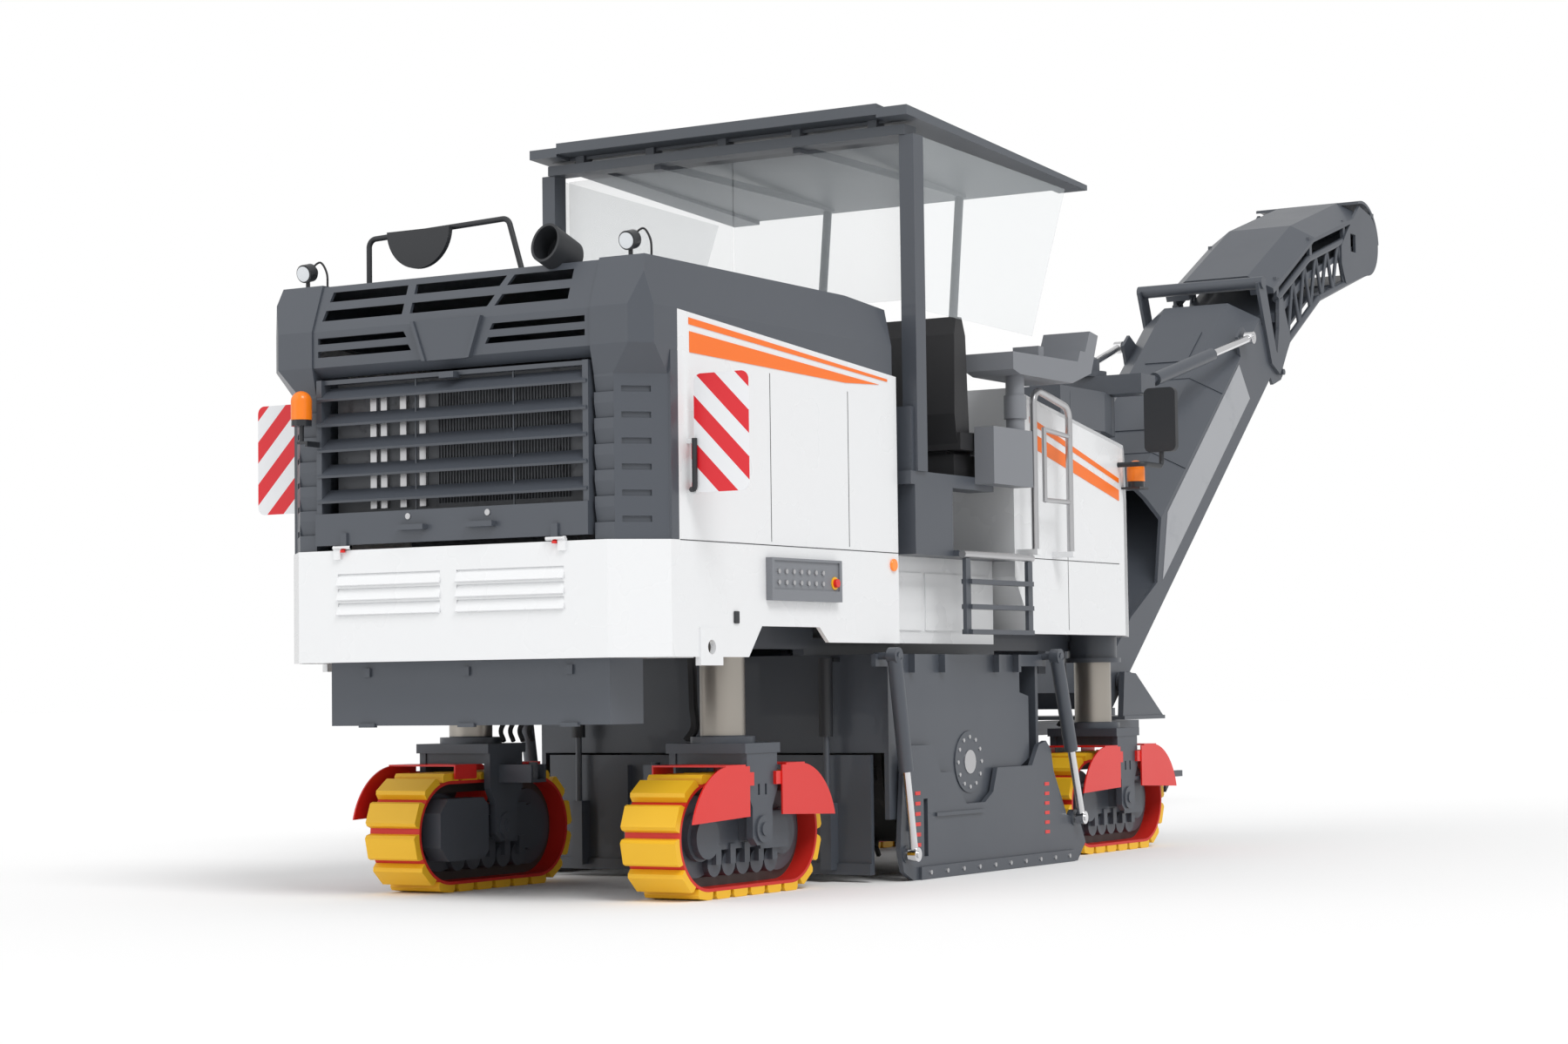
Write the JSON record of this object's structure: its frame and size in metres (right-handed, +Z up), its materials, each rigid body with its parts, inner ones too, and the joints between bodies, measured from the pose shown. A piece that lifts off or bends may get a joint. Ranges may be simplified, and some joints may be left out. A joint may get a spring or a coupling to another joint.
{
  "type": "cold planer milling machine",
  "caption": "Road milling machine on steered tracks with a milling drum under the operator's canopy, an engine hood at the rear and a slewing, folding discharge conveyor ahead",
  "frame": {"origin": "on the ground, under the middle of the whole machine", "axes": "+Z up, +Y forward towards the discharge conveyor, +X to the machine's right"},
  "size_m": [2.74, 10.76, 4.4162],
  "materials": {
    "anthracite": "satin paint, anthracite grey",
    "white": "gloss paint, white",
    "steel": "bare machined steel, slightly brown from oil",
    "dark": "matt black paint",
    "pads": "yellow polyurethane track pads on steel shoes",
    "glass": "clear, slightly grey glass",
    "drumsteel": "worn steel with picks",
    "seatblack": "black seat covering and plastic",
    "board": "red and white warning stripes",
    "amber": "amber lamp lens over a black foot",
    "lamp": "black lamp bodies with clear lenses",
    "red": "satin paint, signal red",
    "chrome": "chromed piston rod",
    "engine": "dark engine block and cooler",
    "roofpanel": "grey roof skin"
  },
  "bodies": {
    "chassis": {"consoles": "seatblack", "drum_housing": "anthracite", "engine": "engine", "exhaust": "dark", "frame": "anthracite", "front_body": "anthracite", "hood": "anthracite", "inner_conveyor": "dark", "lamps": "lamp", "mast": "anthracite", "mirrors": "dark", "platform": "anthracite", "rails": "dark", "rear_body": "white", "rear_box": "anthracite", "roof": "roofpanel", "roof_posts": "anthracite", "scraper_jacks": "dark", "seats": "seatblack", "side_panels": "white", "windows": "glass"},
    "track_unit_rear_right": {"leg_rear_right": "steel", "track_rear_right": "pads", "fenders_rear_right": "red"},
    "track_unit_rear_left": {"leg_rear_left": "steel", "track_rear_left": "pads", "fenders_rear_left": "red"},
    "track_unit_front_right": {"leg_front_right": "steel", "track_front_right": "pads", "fenders_front_right": "red"},
    "track_unit_front_left": {"leg_front_left": "steel", "track_front_left": "pads", "fenders_front_left": "red"},
    "drum": {"drum": "drumsteel"},
    "side_plate_right": {"side_plate_right": "anthracite"},
    "plate_jack_rear_right": {"plate_jack_rear_right": "dark"},
    "plate_rod_rear_right": {"plate_rod_rear_right": "chrome"},
    "plate_jack_front_right": {"plate_jack_front_right": "dark"},
    "plate_rod_front_right": {"plate_rod_front_right": "chrome"},
    "side_plate_left": {"side_plate_left": "anthracite"},
    "plate_jack_rear_left": {"plate_jack_rear_left": "dark"},
    "plate_rod_rear_left": {"plate_rod_rear_left": "chrome"},
    "plate_jack_front_left": {"plate_jack_front_left": "dark"},
    "plate_rod_front_left": {"plate_rod_front_left": "chrome"},
    "scraper": {"scraper": "anthracite"},
    "conveyor_fork": {"slew_fork": "anthracite", "slew_head": "anthracite"},
    "conveyor_lower": {"conveyor_lower": "anthracite"},
    "conveyor_upper": {"conveyor_upper": "anthracite"},
    "luff_barrel_right": {"luff_barrel_right": "dark"},
    "luff_rod_right": {"luff_rod_right": "chrome"},
    "luff_barrel_left": {"luff_barrel_left": "dark"},
    "luff_rod_left": {"luff_rod_left": "chrome"},
    "rear_door": {"rear_door": "anthracite", "rear_beacon": "amber"},
    "ladder_right": {"ladder_right": "dark"},
    "warning_board_right": {"warning_board_right": "board"},
    "ladder_left": {"ladder_left": "dark"},
    "warning_board_left": {"warning_board_left": "board"}
  },
  "joints": [
    {"name": "steer_rear_right", "type": "hinge", "parent": "chassis", "child": "track_unit_rear_right", "pos_m": [0.72, -4.163, 0.69], "axis": [0, 0, 1], "range_deg": [-25, 25]},
    {"name": "steer_rear_left", "type": "hinge", "parent": "chassis", "child": "track_unit_rear_left", "pos_m": [-0.72, -4.163, 0.69], "axis": [0, 0, 1], "range_deg": [-25, 25]},
    {"name": "steer_front_right", "type": "hinge", "parent": "chassis", "child": "track_unit_front_right", "pos_m": [0.72, -0.26, 0.69], "axis": [0, 0, 1], "range_deg": [-25, 25]},
    {"name": "steer_front_left", "type": "hinge", "parent": "chassis", "child": "track_unit_front_left", "pos_m": [-0.72, -0.26, 0.69], "axis": [0, 0, 1], "range_deg": [-25, 25]},
    {"name": "drum_spin", "type": "hinge", "parent": "chassis", "child": "drum", "pos_m": [0, -2.343, 0.556], "axis": [1, 0, 0], "continuous": true},
    {"name": "lift_side_plate_right", "type": "slide", "parent": "chassis", "child": "side_plate_right", "axis": [0, 0, 1], "range_m": [0, 0.33]},
    {"name": "swing_plate_jack_rear_right", "type": "hinge", "parent": "chassis", "child": "plate_jack_rear_right", "pos_m": [1.106, -3.235, 1.085], "axis": [1, 0, 0], "range_deg": [0, 5.62]},
    {"name": "slide_plate_rod_rear_right", "type": "slide", "parent": "plate_jack_rear_right", "child": "plate_rod_rear_right", "axis": [0, -0.1753, 0.9845], "range_m": [0, 0.3273]},
    {"name": "swing_plate_jack_front_right", "type": "hinge", "parent": "chassis", "child": "plate_jack_front_right", "pos_m": [1.106, -1.495, 1.085], "axis": [1, 0, 0], "range_deg": [0, 10.19]},
    {"name": "slide_plate_rod_front_right", "type": "slide", "parent": "plate_jack_front_right", "child": "plate_rod_front_right", "axis": [0, -0.3011, 0.9536], "range_m": [0, 0.3113]},
    {"name": "lift_side_plate_left", "type": "slide", "parent": "chassis", "child": "side_plate_left", "axis": [0, 0, 1], "range_m": [0, 0.33]},
    {"name": "swing_plate_jack_rear_left", "type": "hinge", "parent": "chassis", "child": "plate_jack_rear_left", "pos_m": [-1.106, -3.235, 1.085], "axis": [1, 0, 0], "range_deg": [0, 5.62]},
    {"name": "slide_plate_rod_rear_left", "type": "slide", "parent": "plate_jack_rear_left", "child": "plate_rod_rear_left", "axis": [0, -0.1753, 0.9845], "range_m": [0, 0.3273]},
    {"name": "swing_plate_jack_front_left", "type": "hinge", "parent": "chassis", "child": "plate_jack_front_left", "pos_m": [-1.106, -1.495, 1.085], "axis": [1, 0, 0], "range_deg": [0, 10.19]},
    {"name": "slide_plate_rod_front_left", "type": "slide", "parent": "plate_jack_front_left", "child": "plate_rod_front_left", "axis": [0, -0.3011, 0.9536], "range_m": [0, 0.3113]},
    {"name": "lift_scraper", "type": "slide", "parent": "chassis", "child": "scraper", "axis": [0, 0, 1], "range_m": [0, 0.3]},
    {"name": "slew_conveyor", "type": "hinge", "parent": "chassis", "child": "conveyor_fork", "pos_m": [0, 1.28, 0.715], "axis": [0, 0, 1], "range_deg": [-60, 60]},
    {"name": "luff_conveyor", "type": "hinge", "parent": "conveyor_fork", "child": "conveyor_lower", "pos_m": [0, 0.73, 0.95], "axis": [1, 0, 0], "range_deg": [-10, 5]},
    {"name": "fold_conveyor", "type": "hinge", "parent": "conveyor_lower", "child": "conveyor_upper", "pos_m": [0, 3.38, 3.03], "axis": [1, 0, 0], "range_deg": [-140, 0]},
    {"name": "swing_luff_barrel_right", "type": "hinge", "parent": "conveyor_fork", "child": "luff_barrel_right", "pos_m": [0.335, 1.37, 2.8], "axis": [1, 0, 0], "range_deg": [-17.47, 8.98]},
    {"name": "slide_luff_rod_right", "type": "slide", "parent": "luff_barrel_right", "child": "luff_rod_right", "axis": [0.0962, 0.9549, 0.2809], "range_m": [-0.1488, 0.2926]},
    {"name": "swing_luff_barrel_left", "type": "hinge", "parent": "conveyor_fork", "child": "luff_barrel_left", "pos_m": [-0.335, 1.37, 2.8], "axis": [1, 0, 0], "range_deg": [-17.47, 8.98]},
    {"name": "slide_luff_rod_left", "type": "slide", "parent": "luff_barrel_left", "child": "luff_rod_left", "axis": [-0.0962, 0.9549, 0.2809], "range_m": [-0.1488, 0.2926]},
    {"name": "open_rear_door", "type": "hinge", "parent": "chassis", "child": "rear_door", "pos_m": [0, -5.279, 1.594], "axis": [1, 0, 0], "range_deg": [0, 100]},
    {"name": "fold_ladder_right", "type": "hinge", "parent": "chassis", "child": "ladder_right", "pos_m": [1.1493, -2.23, 1.59], "axis": [0, -1, 0], "range_deg": [0, 90]},
    {"name": "fold_warning_board_right", "type": "hinge", "parent": "chassis", "child": "warning_board_right", "pos_m": [1.078, -4.925, 1.9], "axis": [0, 0, 1], "range_deg": [0, 90]},
    {"name": "fold_ladder_left", "type": "hinge", "parent": "chassis", "child": "ladder_left", "pos_m": [-1.1493, -2.23, 1.59], "axis": [0, 1, 0], "range_deg": [0, 90]},
    {"name": "fold_warning_board_left", "type": "hinge", "parent": "chassis", "child": "warning_board_left", "pos_m": [-1.078, -4.925, 1.9], "axis": [0, 0, -1], "range_deg": [0, 90]}
  ],
  "couplings": [
    {"joint": "steer_rear_left", "follows": "steer_rear_right", "ratio": 1},
    {"joint": "steer_front_left", "follows": "steer_front_right", "ratio": 1},
    {"joint": "swing_plate_jack_rear_right", "follows": "lift_side_plate_right", "rad_per_m": 0.27094},
    {"joint": "slide_plate_rod_rear_right", "follows": "lift_side_plate_right", "ratio": 0.97668},
    {"joint": "swing_plate_jack_front_right", "follows": "lift_side_plate_right", "rad_per_m": 0.51252},
    {"joint": "slide_plate_rod_front_right", "follows": "lift_side_plate_right", "ratio": 0.92806},
    {"joint": "swing_plate_jack_rear_left", "follows": "lift_side_plate_left", "rad_per_m": 0.27094},
    {"joint": "slide_plate_rod_rear_left", "follows": "lift_side_plate_left", "ratio": 0.97668},
    {"joint": "swing_plate_jack_front_left", "follows": "lift_side_plate_left", "rad_per_m": 0.51252},
    {"joint": "slide_plate_rod_front_left", "follows": "lift_side_plate_left", "ratio": 0.92806},
    {"joint": "swing_luff_barrel_right", "follows": "luff_conveyor", "ratio": 1.697},
    {"joint": "slide_luff_rod_right", "follows": "luff_conveyor", "m_per_rad": -1.6475},
    {"joint": "swing_luff_barrel_left", "follows": "luff_conveyor", "ratio": 1.697},
    {"joint": "slide_luff_rod_left", "follows": "luff_conveyor", "m_per_rad": -1.6475}
  ]
}
